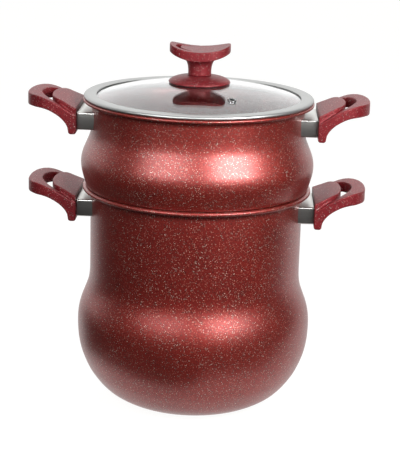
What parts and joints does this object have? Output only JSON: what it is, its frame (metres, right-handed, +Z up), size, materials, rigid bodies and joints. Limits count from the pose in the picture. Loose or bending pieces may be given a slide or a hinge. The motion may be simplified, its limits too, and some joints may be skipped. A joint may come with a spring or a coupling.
{
  "type": "couscoussier",
  "caption": "Bellied stock pot with a perforated steamer that seats in its mouth, a domed glass lid with a steel band and knob, and loop side handles.",
  "frame": {"origin": "centre of the pot's flat base, on the surface it stands on", "axes": "+Z up along the axis of pot, steamer and lid; X through the side handles; -Y towards the viewer of the picture"},
  "size_m": [0.366, 0.257, 0.3941],
  "materials": {
    "coated_aluminium": "deep red metallic coating with fine pale speckles",
    "grip": "red phenolic with fine pale speckles, satin",
    "brushed_steel": "brushed stainless sheet",
    "bright_steel": "bright satin stainless",
    "bare_aluminium": "as cast",
    "lid_glass": "clear tempered glass",
    "gasket": "pale translucent silicone",
    "insert": "turned"
  },
  "bodies": {
    "pot": {"pot_body": "coated_aluminium", "pot_left_grip": "grip", "pot_left_flame_guard": "brushed_steel", "pot_left_lug": "bare_aluminium", "pot_left_washer": "bright_steel", "pot_left_screw": "bright_steel", "pot_right_grip": "grip", "pot_right_flame_guard": "brushed_steel", "pot_right_lug": "bare_aluminium", "pot_right_washer": "bright_steel", "pot_right_screw": "bright_steel"},
    "steamer": {"steamer_body": "coated_aluminium", "steamer_left_grip": "grip", "steamer_left_flame_guard": "brushed_steel", "steamer_left_lug": "bare_aluminium", "steamer_left_washer": "bright_steel", "steamer_left_screw": "bright_steel", "steamer_right_grip": "grip", "steamer_right_flame_guard": "brushed_steel", "steamer_right_lug": "bare_aluminium", "steamer_right_washer": "bright_steel", "steamer_right_screw": "bright_steel"},
    "lid": {"lid_glass": "lid_glass", "lid_band": "bright_steel", "vent_eyelet": "bright_steel", "knob_gasket": "gasket", "knob_base": "grip", "knob_head": "grip", "knob_insert": "insert", "knob_washer": "bright_steel", "knob_screw": "bright_steel"}
  },
  "joints": [
    {"name": "steamer_lift", "type": "slide", "parent": "pot", "child": "steamer", "axis": [0, 0, 1], "range_m": [0, 0.15]},
    {"name": "lid_lift", "type": "slide", "parent": "steamer", "child": "lid", "axis": [0, 0, 1], "range_m": [0, 0.12]}
  ]
}
